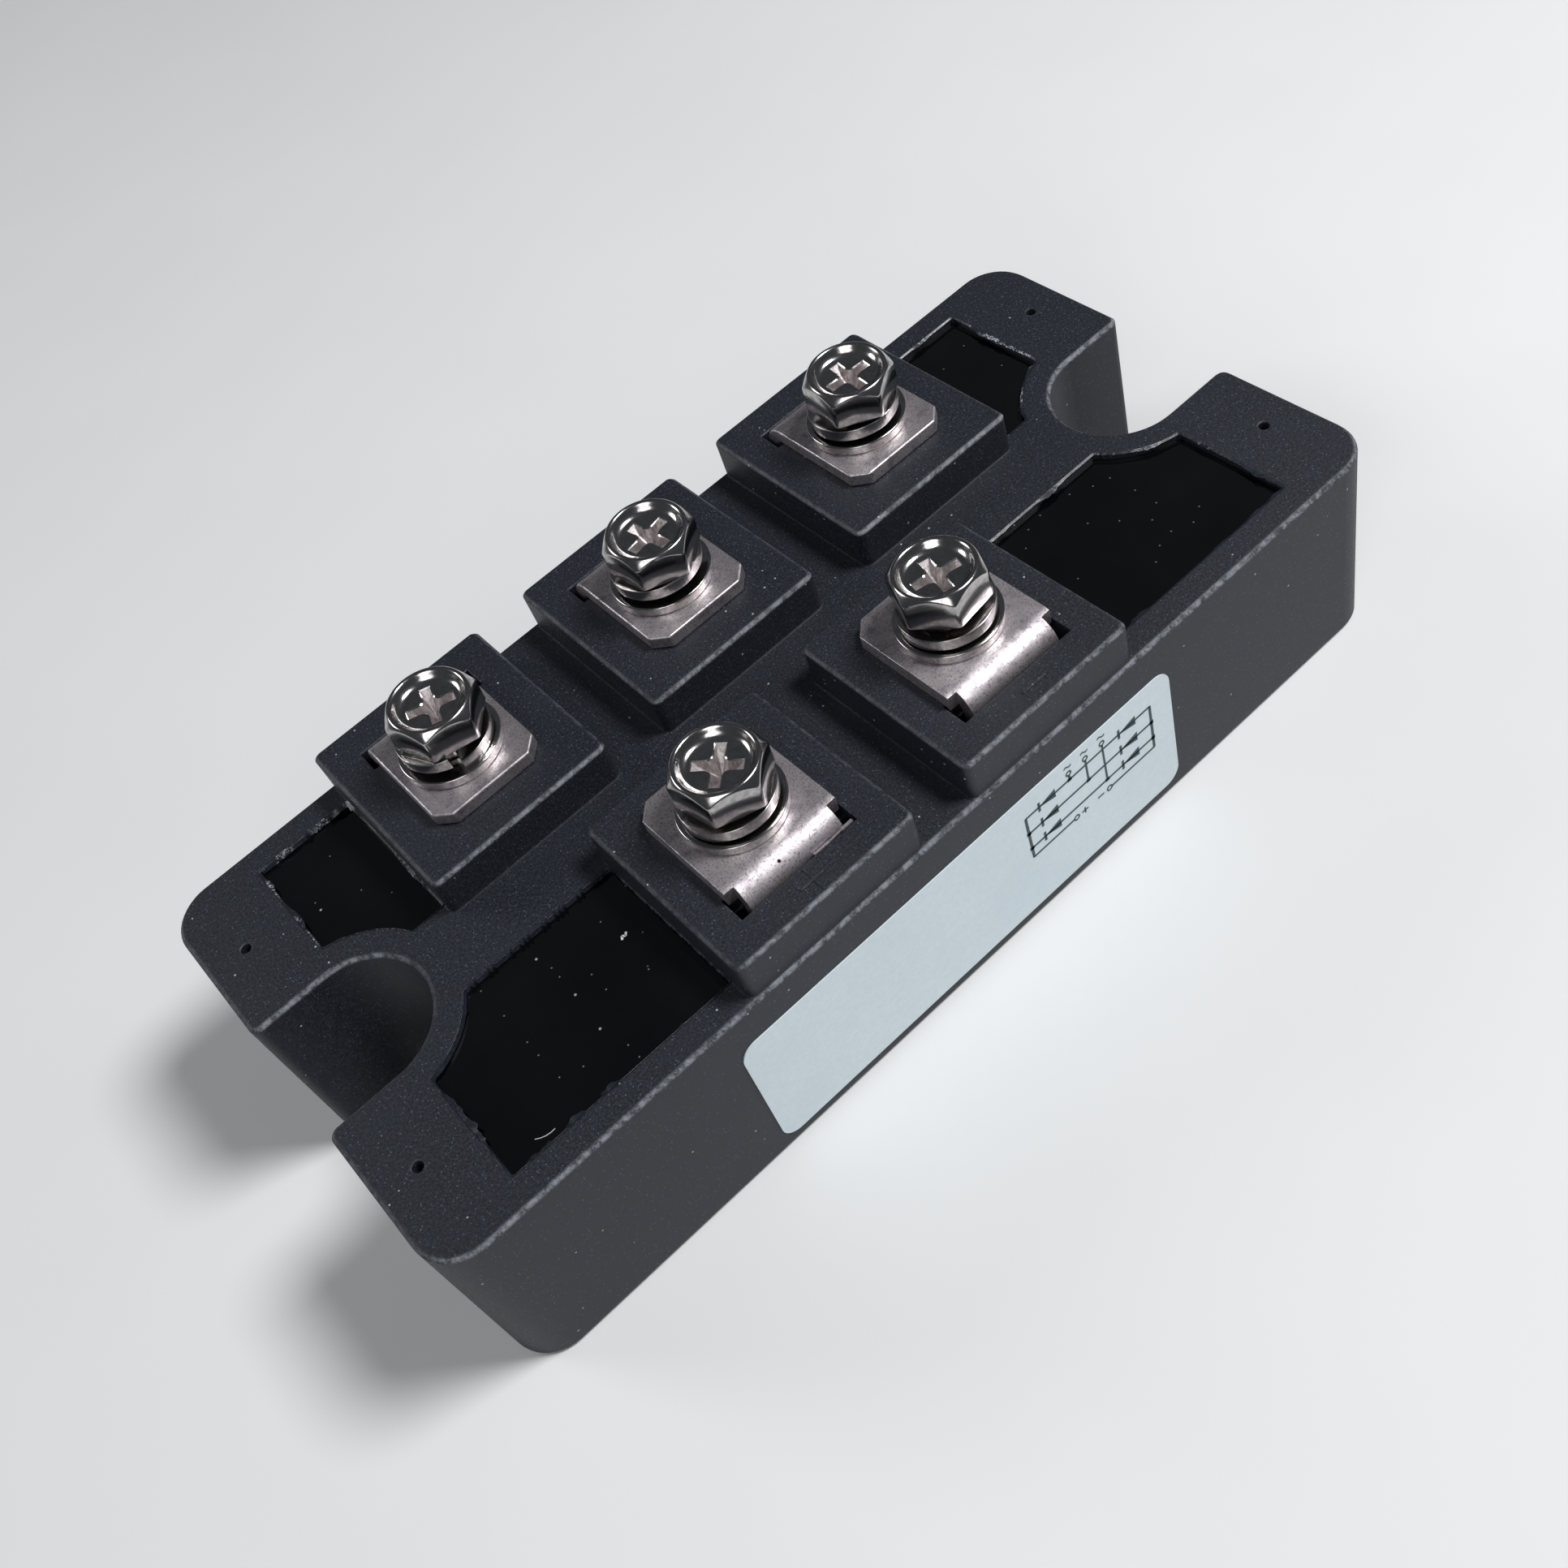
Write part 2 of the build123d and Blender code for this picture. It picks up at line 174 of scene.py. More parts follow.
def pottingEpoxy():
    # Black casting epoxy, poured and cured in place: almost a mirror, with a slow ripple and settled dust
    material, tree, shader, place = newMaterial("poured potting epoxy", {"Roughness": 0.06, "IOR": 1.52})
    ripple = addNode(tree, "TexNoise", {"Scale": 1 / (7 * mm), "Detail": 1.5}, {"Vector": place})
    haze = addNode(tree, "TexNoise", {"Scale": 1 / (12 * mm), "Detail": 6.0}, {"Vector": place})
    fine = speckle(tree, place, 1.9, 0.15, 0.11, "2D")
    coarse = speckle(tree, place, 5.5, 0.24, 0.12, "2D")
    faint = addNode(tree, "Math", {"operation": "MULTIPLY", 1: 0.5}, {0: fine})
    dust = addNode(tree, "Math", {"operation": "MAXIMUM"}, {0: faint, 1: coarse})
    base = addNode(tree, "ValToRGB", {"stops": [(0.35, "#040506"), (0.75, "#0a0c0e")]}, {"Fac": haze})
    colour = addNode(tree, "Mix", {"data_type": "RGBA", "B": "#868c92"}, {"Factor": dust, "A": base})
    dull = addNode(tree, "MapRange", {"To Min": 0.06, "To Max": 0.6}, {"Value": dust})
    bump = addNode(tree, "Bump", {"Strength": 0.22, "Distance": 0.08 * mm}, {"Height": ripple})
    connect(tree, shader, {"Base Color": colour, "Roughness": dull, "Normal": bump})
    return material


def epoxyFlash():
    # Thin skin of epoxy and mould flash along a window's rim: ragged, dry and whitish where it has cracked
    material, tree, shader, place = newMaterial("cracked epoxy flash", {"Roughness": 0.3, "IOR": 1.52})
    cracks = addNode(tree, "TexNoise", {"Scale": 1 / (0.35 * mm), "Detail": 5.0, "Roughness": 0.8},
                     {"Vector": place})
    patches = addNode(tree, "TexNoise", {"Scale": 1 / (2.5 * mm), "Detail": 2.0}, {"Vector": place})
    # whitest round the back left and the right windows, and nearly none on the near left one
    along = addNode(tree, "VectorMath", {"operation": "DOT_PRODUCT", 1: (8, 40, 0)}, {0: place})
    pale = addNode(tree, "MapRange", {"From Min": 0.5, "From Max": 0.6}, {"Value": cracks})
    for value, low, high in ((patches, 0.46, 0.56), (along, -0.3, 0.4)):
        pale = addNode(tree, "MapRange", {"From Min": low, "From Max": high},
                       {"Value": value, "To Max": pale})
    base = addNode(tree, "ValToRGB", {"stops": [(0.3, "#101319"), (0.7, "#262b35")]}, {"Fac": cracks})
    colour = addNode(tree, "Mix", {"data_type": "RGBA", "B": "#b4b9c0"}, {"Factor": pale, "A": base})
    dull = addNode(tree, "MapRange", {"From Min": 0.3, "From Max": 0.7, "To Min": 0.2, "To Max": 0.5},
                   {"Value": cracks})
    bump = addNode(tree, "Bump", {"Strength": 0.5, "Distance": 0.06 * mm}, {"Height": cracks})
    connect(tree, shader, {"Base Color": colour, "Roughness": dull, "Normal": bump})
    return material


pitShadeSettings = {         # painted shade: a dark spot standing for a small pit on the bend of the plus terminal, with no pit modelled
    "place": (-13.62, -20.02, 27.62),
    "core": 0.14,
    "rim": 0.19,
}


def platedStrip(pitShade):
    # Copper strip under dull electroplated nickel: satin, with rolling lines and faint grey tarnish
    material, tree, shader, place = newMaterial("nickel-plated copper strip",
                                                {"Metallic": 1.0, "Roughness": 0.3})
    stretched = addNode(tree, "Mapping", {"Scale": (1.0, 9.0, 9.0)}, {"Vector": place})
    lines = addNode(tree, "TexNoise", {"Scale": 1 / (1.6 * mm), "Detail": 4.0}, {"Vector": stretched})
    stain = addNode(tree, "TexNoise", {"Scale": 1 / (1.5 * mm), "Detail": 7.0, "Roughness": 0.72},
                    {"Vector": place})
    marks = addNode(tree, "TexNoise", {"Scale": 1 / (0.18 * mm), "Detail": 2.0}, {"Vector": place})
    spots = addNode(tree, "MapRange", {"From Min": 0.54, "From Max": 0.68, "To Max": 0.7}, {"Value": marks})
    # painted shade: a dark round spot where a small pit would hold shade; the surface stays smooth there
    away = addNode(tree, "VectorMath", {"operation": "DISTANCE", 1: Vector(pitShade["place"]) * mm}, {0: place})
    paintedPitShade = addNode(tree, "MapRange", {"From Min": pitShade["rim"] * mm, "From Max": pitShade["core"] * mm},
                   {"Value": away})
    colour = addNode(tree, "ValToRGB", {"stops": [(0.32, "#8b858c"), (0.46, "#b9b2b6"), (0.66, "#dcd5d6")]},
                     {"Fac": stain})
    for share, hexText in ((spots, "#675f69"), (paintedPitShade, "#1c181b")):
        colour = addNode(tree, "Mix", {"data_type": "RGBA", "B": hexText}, {"Factor": share, "A": colour})
    dull = addNode(tree, "MapRange", {"From Min": 0.3, "From Max": 0.7, "To Min": 0.55, "To Max": 0.42},
                   {"Value": stain})
    rolled = addNode(tree, "Bump", {"Strength": 0.25, "Distance": 0.02 * mm}, {"Height": lines})
    bump = addNode(tree, "Bump", {"Strength": 0.2, "Distance": 0.012 * mm},
                   {"Height": marks, "Normal": rolled})
    connect(tree, shader, {"Base Color": colour, "Roughness": dull, "Normal": bump})
    return material


def brightNickel():
    # Cold-formed steel under bright nickel: shiny, faintly warm, with small handling marks
    polish = 0.1
    material, tree, shader, place = newMaterial("bright nickel-plated steel",
                                                {"Metallic": 1.0, "Roughness": polish})
    marks = addNode(tree, "TexNoise", {"Scale": 1 / (0.6 * mm), "Detail": 6.0, "Roughness": 0.72},
                    {"Vector": place})
    upright = addNode(tree, "Mapping", {"Scale": (1.0, 1.0, 0.12)}, {"Vector": place})
    drawn = addNode(tree, "TexNoise", {"Scale": 1 / (0.16 * mm), "Detail": 2.0}, {"Vector": upright})
    colour = addNode(tree, "ValToRGB", {"stops": [(0.3, "#8f8d8d"), (0.5, "#b1aead"), (0.7, "#c8c5c2")]},
                     {"Fac": marks})
    dull = addNode(tree, "MapRange",
                   {"From Min": 0.35, "From Max": 0.7, "To Min": polish + 0.12, "To Max": polish},
                   {"Value": marks})
    dents = addNode(tree, "Bump", {"Strength": 0.16, "Distance": 0.03 * mm}, {"Height": marks})
    bump = addNode(tree, "Bump", {"Strength": 0.12, "Distance": 0.015 * mm},
                   {"Height": drawn, "Normal": dents})
    connect(tree, shader, {"Base Color": colour, "Roughness": dull, "Normal": bump})
    return material


def punchedNickel():
    # The punched recess in a head: the plating is thin there, dull and pinkish grey, with scrape lines
    material, tree, shader, place = newMaterial("dull nickel in the punched recess",
                                                {"Metallic": 1.0, "Roughness": 0.5})
    upright = addNode(tree, "Mapping", {"Scale": (1.0, 1.0, 0.3)}, {"Vector": place})
    scrapes = addNode(tree, "TexNoise", {"Scale": 1 / (0.25 * mm), "Detail": 4.0}, {"Vector": upright})
    colour = addNode(tree, "ValToRGB", {"stops": [(0.3, "#9a9394"), (0.7, "#d4cdcc")]}, {"Fac": scrapes})
    dull = addNode(tree, "MapRange", {"From Min": 0.3, "From Max": 0.7, "To Min": 0.62, "To Max": 0.44},
                   {"Value": scrapes})
    bump = addNode(tree, "Bump", {"Strength": 0.35, "Distance": 0.03 * mm}, {"Height": scrapes})
    connect(tree, shader, {"Base Color": colour, "Roughness": dull, "Normal": bump})
    return material


def groundBase():
    # Copper plate under nickel, ground flat for the heatsink: straight grinding lines along the length
    material, tree, shader, place = newMaterial("ground nickel-plated base",
                                                {"Metallic": 1.0, "Roughness": 0.35})
    stretched = addNode(tree, "Mapping", {"Scale": (0.04, 1.0, 1.0)}, {"Vector": place})
    lines = addNode(tree, "TexNoise", {"Scale": 1 / (0.25 * mm), "Detail": 3.0}, {"Vector": stretched})
    stain = addNode(tree, "TexNoise", {"Scale": 1 / (11 * mm), "Detail": 5.0}, {"Vector": place})
    tarnish = addNode(tree, "MapRange", {"From Min": 0.45, "From Max": 0.75, "To Max": 0.5}, {"Value": stain})
    base = addNode(tree, "ValToRGB", {"stops": [(0.3, "#a39e96"), (0.7, "#c9c4bc")]}, {"Fac": lines})
    colour = addNode(tree, "Mix", {"data_type": "RGBA", "B": "#8c867f"}, {"Factor": tarnish, "A": base})
    dull = addNode(tree, "MapRange", {"From Min": 0.3, "From Max": 0.7, "To Min": 0.42, "To Max": 0.28},
                   {"Value": lines})
    bump = addNode(tree, "Bump", {"Strength": 0.3, "Distance": 0.02 * mm}, {"Height": lines})
    connect(tree, shader, {"Base Color": colour, "Roughness": dull, "Normal": bump})
    return material


def labelFilm():
    # Pale polyester label film: even, slightly bluish, with a faint coating mottle
    material, tree, shader, place = newMaterial("pale polyester label film", {"Roughness": 0.42, "IOR": 1.57})
    mottle = addNode(tree, "TexNoise", {"Scale": 1 / (0.5 * mm), "Detail": 4.0}, {"Vector": place})
    clouds = addNode(tree, "TexNoise", {"Scale": 1 / (9 * mm), "Detail": 3.0}, {"Vector": place})
    shade = addNode(tree, "MapRange", {"From Min": 0.4, "From Max": 0.7, "To Max": 0.4}, {"Value": clouds})
    base = addNode(tree, "ValToRGB", {"stops": [(0.3, "#c8d5db"), (0.7, "#d0dce1")]}, {"Fac": mottle})
    colour = addNode(tree, "Mix", {"data_type": "RGBA", "B": "#c2d0d7"}, {"Factor": shade, "A": base})
    bump = addNode(tree, "Bump", {"Strength": 0.05, "Distance": 0.01 * mm}, {"Height": mottle})
    connect(tree, shader, {"Base Color": colour, "Normal": bump})
    return material


def plainPattern(name, grain, dark, light, settings, detail=3.0):
    # small and hidden pieces and the floor: one even material each, with a fine mottle of the given grain
    material, tree, shader, place = newMaterial(name, settings)
    mottle = addNode(tree, "TexNoise", {"Scale": 1 / (grain * mm), "Detail": detail}, {"Vector": place})
    colour = addNode(tree, "ValToRGB", {"stops": [(0.3, dark), (0.7, light)]}, {"Fac": mottle})
    connect(tree, shader, {"Base Color": colour})
    return material


finish = {
    "case": mouldedCase(),
    "epoxy": pottingEpoxy(),
    "terminal": platedStrip(pitShadeSettings),
    "fastener": brightNickel(),
    "base_plate": groundBase(),
    "label": labelFilm(),
    "copper": plainPattern("bare copper foil", 0.8, "#b0714e", "#cf8d66",
                           {"Metallic": 1.0, "Roughness": 0.35}),
    "silicon": plainPattern("silicon die", 1.2, "#3d4048", "#565a63", {"Metallic": 0.4, "Roughness": 0.25}),
    "ceramic": plainPattern("white alumina ceramic", 0.6, "#e4e3dd", "#efeee9", {"Roughness": 0.5}),
    "gel": plainPattern("soft silicone gel", 3.0, "#cfcfc8", "#dcdcd5", {"Roughness": 0.2, "IOR": 1.41}),
}
ink = plainPattern("dark thermal print", 0.3, "#22353a", "#2f444a", {"Roughness": 0.5})
lint = plainPattern("pale lint and resin flake", 0.2, "#b4b8bc", "#d2d5d8", {"Roughness": 0.8})
flash = epoxyFlash()
punched = punchedNickel()
slotOf = {entry["node"]: entry["material_slot"] for entry in frame["record"]["subparts"]}
for name, node in nodes.items():
    node.data.materials.clear()
    node.data.materials.append(finish[slotOf[name]])
print("materials made")


# Pieces

mergeSettings = {       # how a CAD mesh of loose triangles is made whole
    "distance": 0.002,
    "flatAngle": 0.3,   # degrees
}


def mergedCopy(nodeName, settings):
    # a merged copy of a CAD mesh, with its flat faces joined again
    bm = bmesh.new()
    bm.from_mesh(nodes[nodeName].data)
    bmesh.ops.remove_doubles(bm, verts=bm.verts, dist=settings["distance"] * mm)
    flat = math.radians(settings["flatAngle"])
    bmesh.ops.dissolve_limit(bm, angle_limit=flat, verts=bm.verts, edges=bm.edges)
    return bm


def finishPiece(bm, name, slot, standsFor=(), materials=None, sharp=30, edge=0.0):
    # closed mesh to a piece that rides on the module; sharp is in degrees, and edge is the width of its
    # rounded edges
    mesh = bpy.data.meshes.new(name)
    bm.to_mesh(mesh)
    bm.free()
    for face in mesh.polygons:
        face.use_smooth = True
    mesh.set_sharp_from_angle(angle=math.radians(sharp))
    for material in materials or [finish[slot]]:
        mesh.materials.append(material)
    piece = bpy.data.objects.new(name, mesh)
    bpy.context.scene.collection.objects.link(piece)
    if edge:
        rounding = piece.modifiers.new("rounded edges", "BEVEL")
        rounding.width = edge * mm
        rounding.segments = 3
        rounding.limit_method = "ANGLE"
        rounding.angle_limit = math.radians(sharp)
        rounding.harden_normals = True
    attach(piece, "root")
    if standsFor:
        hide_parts(*standsFor)


edgeWidths = {          # rounded edges of the metal pieces
    "terminal": 0.22,
    "washer": 0.14,
    "spring_washer": 0.16,
}


def buildStampings(widths):
    for place in terminalNames:
        for kind, width in widths.items():
            nodeName = f"{place}_{kind}"
            bm = mergedCopy(nodeName, mergeSettings)
            finishPiece(bm, f"{nodeName}_rounded", slotOf[nodeName], [nodeName], edge=width)
    print("terminals and washers rounded")


headSettings = {
    "flats": 8.0,           # across the flats
    "cornerRadius": 4.54,   # the six corners are slightly turned off
    "bowl": [(2.6, 2.6), (2.82, 2.68), (3.04, 2.85), (3.22, 3.08), (3.34, 3.28), (3.45, 3.42), (3.57, 3.49),
             (3.69, 3.5), (3.79, 3.46), (3.87, 3.38)],    # radius and height, from the floor to the chamfer
    "chamferSlope": 1.15,   # drop per millimetre outwards
    # the side: out from the hexagon's flat, and height
    "side": [(-0.1, 2.0), (0.0, 1.9), (0.0, 0.16), (-0.05, 0.05), (-0.18, 0.0)],
    "sideDrop": 0.1,        # rounding between the chamfer and the side
    "topHeight": 3.5,
    "shank": [(2.75, 0.0), (2.5, -0.2), (2.5, -11.4), (1.9, -12.0), (0.0, -12.0)],     # radius and height
    "steps": 180,
    "lean": {"input_1": (2.6, -1.0), "input_2": (1.2, -3.0), "input_3": (0.8, -2.6), "plus": (1.5, -0.8),
             "minus": (0.5, 2.4)},     # loose screws: degrees towards X and towards Y
    "pivotHeight": -5.0,    # the point in the nut about which a screw leans, from under the head
    "headTurn": {"input_1": 50, "input_2": 39, "input_3": 29, "plus": 41, "minus": 8},      # degrees
    "sharp": 32,            # degrees
}
crossSettings = {
    "turn": {"input_1": 72, "input_2": 11, "input_3": 87, "plus": 43, "minus": 76},     # degrees
    "reach": 2.32,          # from the axis to the end of each arm
    "halfWidth": 0.56,
    "corner": 0.55,         # rounding of the inner corners
    "rim": 0.13,            # width of the bright chamfer round it
    "rimDrop": 0.095,
    "wallDrop": 0.75,       # from the bowl's floor to the foot of the walls
    "wallTaper": 0.72,      # size at their foot
    "depth": 1.9,           # at the middle
}


def lathe(profile, steps):
    # full turn of a profile of (radius, height) points in millimetres round the Z axis
    bm = bmesh.new()
    points = [bm.verts.new((radius * mm, 0, height * mm)) for radius, height in profile]
    edges = [bm.edges.new(pair) for pair in zip(points, points[1:])]
    bmesh.ops.spin(bm, geom=points + edges, cent=(0, 0, 0), axis=(0, 0, 1), dvec=(0, 0, 0),
                   angle=2 * math.pi, steps=steps, use_merge=True, use_duplicate=False)
    bmesh.ops.remove_doubles(bm, verts=bm.verts, dist=0.0005 * mm)
    return bm


def hexagonReach(angle, settings):
    # distance from the axis to the hexagon's side at an angle, with a corner at angle 0
    turn = angle % (math.pi / 3) - math.pi / 6
    return min(settings["flats"] / 2 / math.cos(turn), settings["cornerRadius"])


def headBlank(settings):
    # rim, chamfer, hexagon and shank, open over the bowl's floor; the side is turned far out, as a circle,
    # and then drawn in to the hexagon
    circle = 10.0
    shoulderRadius, shoulderHeight = settings["bowl"][-1]
    side = [(circle + out, height) for out, height in settings["side"]]
    bm = lathe(settings["bowl"] + side + settings["shank"], settings["steps"])
    for vert in bm.verts:
        radius = math.hypot(vert.co.x, vert.co.y) / mm
        if radius < circle / 2:
            continue
        reach = hexagonReach(math.atan2(vert.co.y, vert.co.x), settings) + radius - circle
        vert.co.x *= reach / radius
        vert.co.y *= reach / radius
        if vert.co.z > shoulderHeight / 2 * mm:
            drop = (reach - shoulderRadius) * settings["chamferSlope"]
            if radius > circle + settings["side"][0][0] / 2:
                drop += settings["sideDrop"]
            vert.co.z = (shoulderHeight - drop) * mm
    return bm


def crossRecess(settings, floor):
    # a cross with rounded inner corners and tapered arms, open on top, and a floor that falls to the middle
    reach = settings["reach"] * mm
    half = settings["halfWidth"] * mm
    bm = bmesh.new()
    bmesh.ops.create_grid(bm, x_segments=3, y_segments=3, size=reach)
    middles = [(face, face.calc_center_median()) for face in bm.faces]
    corners = [face for face, middle in middles if min(abs(middle.x), abs(middle.y)) > reach / 2]
    bmesh.ops.delete(bm, geom=corners, context="FACES")
    for vert in bm.verts:
        for axis in (0, 1):
            if abs(vert.co[axis]) < reach / 2:
                vert.co[axis] = math.copysign(half, vert.co[axis])
    bmesh.ops.dissolve_faces(bm, faces=bm.faces)
    inner = [vert for vert in bm.verts if max(abs(vert.co.x), abs(vert.co.y)) < reach / 2]
    bmesh.ops.bevel(bm, geom=inner, offset=settings["corner"] * mm, offset_type="OFFSET", affect="VERTICES",
                    segments=5, profile=0.5, material=-1)
    mouth = next(iter(bm.faces))
    bmesh.ops.translate(bm, vec=(0, 0, floor * mm), verts=bm.verts)
    rim = bmesh.ops.inset_individual(bm, faces=[mouth], thickness=settings["rim"] * mm)["faces"]
    bmesh.ops.translate(bm, vec=(0, 0, -settings["rimDrop"] * mm), verts=mouth.verts)
    grown = bmesh.ops.extrude_face_region(bm, geom=[mouth])["geom"]
    foot = next(item for item in grown if isinstance(item, bmesh.types.BMFace))
    bmesh.ops.delete(bm, geom=[mouth], context="FACES_ONLY")
    taper = Matrix.Diagonal((settings["wallTaper"], settings["wallTaper"], 1, 1))
    lower = Matrix.Translation((0, 0, (settings["rimDrop"] - settings["wallDrop"]) * mm))
    bmesh.ops.transform(bm, matrix=lower @ taper, verts=foot.verts)
    middle = bmesh.ops.poke(bm, faces=[foot])["verts"][0]
    middle.co.z = (floor - settings["depth"]) * mm
    for face in bm.faces:
        face.material_index = 0 if face in rim else 1
    return bm


def buildScrews(head, cross):
    for place in terminalNames:
        bm = headBlank(head)
        recess = crossRecess(cross, head["bowl"][0][1])
        headTurn = head["headTurn"][place]
        swing = Matrix.Rotation(math.radians(cross["turn"][place] - headTurn), 4, "Z")
        bmesh.ops.transform(recess, matrix=swing, verts=recess.verts)
        carrier = bpy.data.meshes.new("recess")
        recess.to_mesh(carrier)
        recess.free()
        bm.from_mesh(carrier)
        bpy.data.meshes.remove(carrier)
        # the bowl's floor, between its open ring and the recess's rim
        openEdges = [edge for edge in bm.edges if edge.is_boundary]
        floor = bmesh.ops.triangle_fill(bm, use_beauty=True, edges=openEdges)["geom"]
        for item in floor:
            if isinstance(item, bmesh.types.BMFace):
                item.material_index = 0
        bmesh.ops.recalc_face_normals(bm, faces=bm.faces)
        low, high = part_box(f"{place}_screw")
        spot = ((low[0] + high[0]) / 2, (low[1] + high[1]) / 2, high[2] - head["topHeight"] * mm)
        leanX, leanY = head["lean"][place]
        lean = Matrix.Rotation(math.radians(leanX), 4, "Y") @ Matrix.Rotation(math.radians(-leanY), 4, "X")
        pivot = Matrix.Translation((0, 0, head["pivotHeight"] * mm))
        turn = Matrix.Rotation(math.radians(headTurn), 4, "Z")
        stand = Matrix.Translation(spot) @ pivot @ lean @ pivot.inverted() @ turn
        bmesh.ops.transform(bm, matrix=stand, verts=bm.verts)
        finishPiece(bm, f"{place}_screw_turned", "fastener", [f"{place}_screw"],
                    materials=[finish["fastener"], punched], sharp=head["sharp"])
    print("screws made")


flashSettings = {
    "level": 0.9,           # the windows' faces point up at least this much
    "near": 0.05,           # and lie this close to the epoxy's top
    "overlap": 0.1,         # how far it lies on the case
    "width": 0.5,           # inside the rim, before its ragged edge scales it
    "thickness": 0.05,
    "height": 22.25,
    "sag": 0.12,            # of the inner edge
    "step": 0.4,            # longest stretch between two points of the rim
    "least": 0.3,           # share of the width that is there all round
    "flakeSize": 3.1,
    "flakeShare": 2.2,
    "raggedSize": 0.7,
    "cleanBack": -6.0,      # the near left window's back and block sides are clean, and its front is chipped
    "cleanRight": -24.2,
    "chippedFront": -20.5,
    "chippedShare": 1.7,
    "sharp": 60,            # degrees
}


def buildFlash(settings):
    # a ragged skin along the rim of each window, a little onto the case
    bm = mergedCopy("epoxy", mergeSettings)
    others = [face for face in bm.faces if face.normal.z < settings["level"]
              or abs(face.calc_center_median().z - epoxyTop) > settings["near"] * mm]
    bmesh.ops.delete(bm, geom=others, context="FACES")
    overlap = settings["overlap"] * mm
    grown = bmesh.ops.inset_individual(bm, faces=list(bm.faces), thickness=-overlap, use_even_offset=False)
    bmesh.ops.delete(bm, geom=grown["faces"], context="FACES")
    bmesh.ops.delete(bm, geom=list(bm.faces), context="FACES_ONLY")
    while longEdges := [edge for edge in bm.edges if edge.calc_length() > settings["step"] * mm]:
        bmesh.ops.subdivide_edges(bm, edges=longEdges, cuts=1)
    bmesh.ops.edgeloop_fill(bm, edges=list(bm.edges))
    bmesh.ops.recalc_face_normals(bm, faces=bm.faces)
    outer = set(bm.verts)
    width = overlap + settings["width"] * mm
    skin = bmesh.ops.inset_individual(bm, faces=list(bm.faces), thickness=width,
                                      use_even_offset=False)["faces"]
    bmesh.ops.delete(bm, geom=[face for face in bm.faces if face not in skin], context="FACES_ONLY")
    for vert in bm.verts:
        vert.co.z = settings["height"] * mm
        if vert in outer:
            continue
        partner = next(edge.other_vert(vert) for edge in vert.link_edges if edge.other_vert(vert) in outer)
        # mostly a thin line, with a wide flake here and there
        flake = max(0.0, noise.noise(vert.co / (settings["flakeSize"] * mm))) * settings["flakeShare"]
        x, y = partner.co.x / mm, partner.co.y / mm
        if x < 0 and y < 0:
            if y > settings["cleanBack"] or x > settings["cleanRight"]:
                flake = 0.0
            elif y < settings["chippedFront"]:
                flake *= settings["chippedShare"]
        ragged = 0.5 + 0.5 * noise.noise(vert.co / (settings["raggedSize"] * mm))
        vert.co = partner.co + (vert.co - partner.co) * (settings["least"] + flake * ragged)
        vert.co.z -= settings["sag"] * mm
    bmesh.ops.recalc_face_normals(bm, faces=bm.faces)
    bmesh.ops.solidify(bm, geom=list(bm.faces), thickness=settings["thickness"] * mm)
    bmesh.ops.recalc_face_normals(bm, faces=bm.faces)
    finishPiece(bm, "window_flash", "epoxy", materials=[flash], sharp=settings["sharp"])
    print("flash made")


def bar(bm, start, end, width, overrun=0.2):
    # flat strip from start to end in the XY plane, longer by a share of its width
    made = bmesh.ops.create_grid(bm, x_segments=1, y_segments=1, size=0.5 * mm)["verts"]
    run = Vector((end[0] - start[0], end[1] - start[1]))
    angle = math.atan2(run.y, run.x)
    middle = Vector(((start[0] + end[0]) / 2, (start[1] + end[1]) / 2, 0)) * mm
    size = Matrix.Diagonal((run.length + width * overrun, width, 1, 1))
    stand = Matrix.Translation(middle) @ Matrix.Rotation(angle, 4, "Z") @ size
    bmesh.ops.transform(bm, matrix=stand, verts=made)


def ring(bm, centre, radius, width, steps=24):
    outer = (radius + width / 2) * mm
    made = bmesh.ops.create_circle(bm, cap_ends=True, segments=steps, radius=outer)["verts"]
    bmesh.ops.translate(bm, vec=Vector((*centre, 0)) * mm, verts=made)
    disk = made[0].link_faces[0]
    bmesh.ops.inset_individual(bm, faces=[disk], thickness=width * mm)
    bmesh.ops.delete(bm, geom=[disk], context="FACES_ONLY")


def wave(bm, centre, reach, height, width, steps=8):
    # a small tilde
    made = bmesh.ops.create_grid(bm, x_segments=steps, y_segments=1, size=1)["verts"]
    for vert in made:
        along, across = vert.co.x, vert.co.y
        rise = across * width / 2 - height * math.sin(along * math.pi)
        vert.co = Vector((centre[0] + along * reach, centre[1] + rise, 0)) * mm


def thicken(bm, thickness, height=0.0):
    # flat faces to closed plates, lifted to a height
    grown = bmesh.ops.extrude_face_region(bm, geom=list(bm.faces))["geom"]
    moved = [item for item in grown if isinstance(item, bmesh.types.BMVert)]
    bmesh.ops.translate(bm, vec=(0, 0, thickness * mm), verts=moved)
    bmesh.ops.recalc_face_normals(bm, faces=bm.faces)
    bmesh.ops.translate(bm, vec=(0, 0, height * mm), verts=bm.verts)


